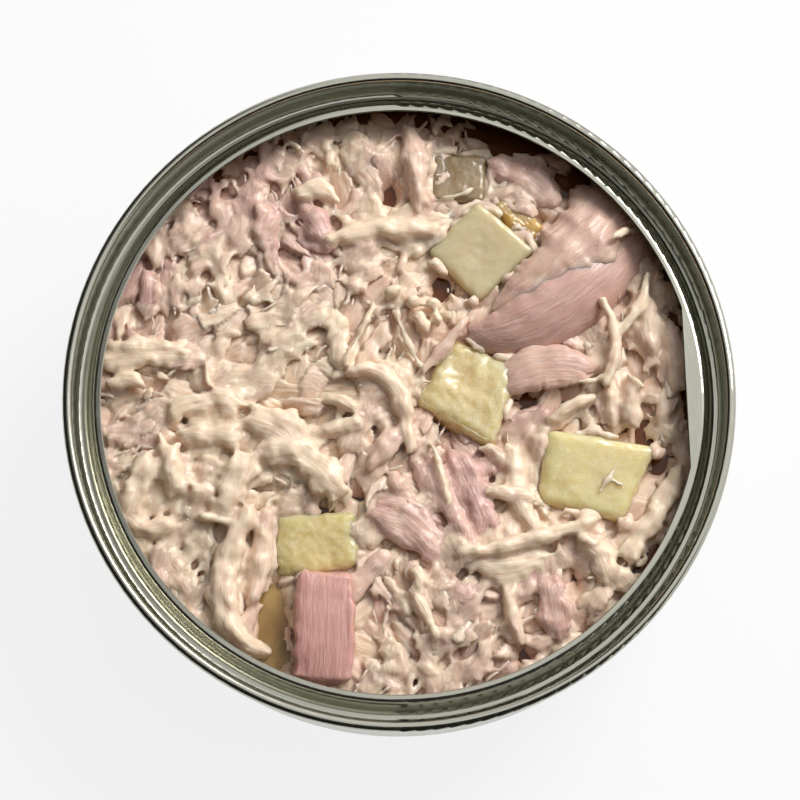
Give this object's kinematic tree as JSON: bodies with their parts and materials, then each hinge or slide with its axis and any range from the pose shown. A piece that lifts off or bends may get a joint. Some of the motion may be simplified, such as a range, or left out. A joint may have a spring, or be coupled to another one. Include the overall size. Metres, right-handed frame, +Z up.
{
  "type": "open tin of cat food",
  "caption": "Flat round tin with its lid torn off, filled with shredded meat, pieces of pink meat, yellow diced fruit and broth.",
  "frame": {"origin": "middle of the ring the can stands on", "axes": "+Z up along the can's middle line; +Y away from someone looking into the can from the front, +X to their right"},
  "size_m": [0.0852, 0.0852, 0.026],
  "materials": {
    "tin_body": "bright tinplate, drawn, olive-grey sheen",
    "tin_ring": "tinplate, fine turned lines, bright torn edge",
    "shredded_meat": "wet shredded cooked meat",
    "broth": "clear amber broth, wet gloss",
    "fruit_beige": "wet granular flesh",
    "fruit_olive": "wet granular flesh, darker",
    "fruit_yellow": "wet translucent yellow flesh",
    "pink_meat": "cooked pink-grey meat, long grain"
  },
  "bodies": {
    "root": {"can_body": "tin_body", "end_ring": "tin_ring", "meat_heap": "shredded_meat", "broth": "broth", "fruit_cube_upper": "fruit_beige", "fruit_cube_back": "fruit_olive", "fruit_cube_middle": "fruit_yellow", "fruit_cube_right": "fruit_yellow", "fruit_cube_left": "fruit_yellow", "meat_chunk": "pink_meat", "meat_flake": "pink_meat", "meat_block": "pink_meat"}
  },
  "joints": []
}
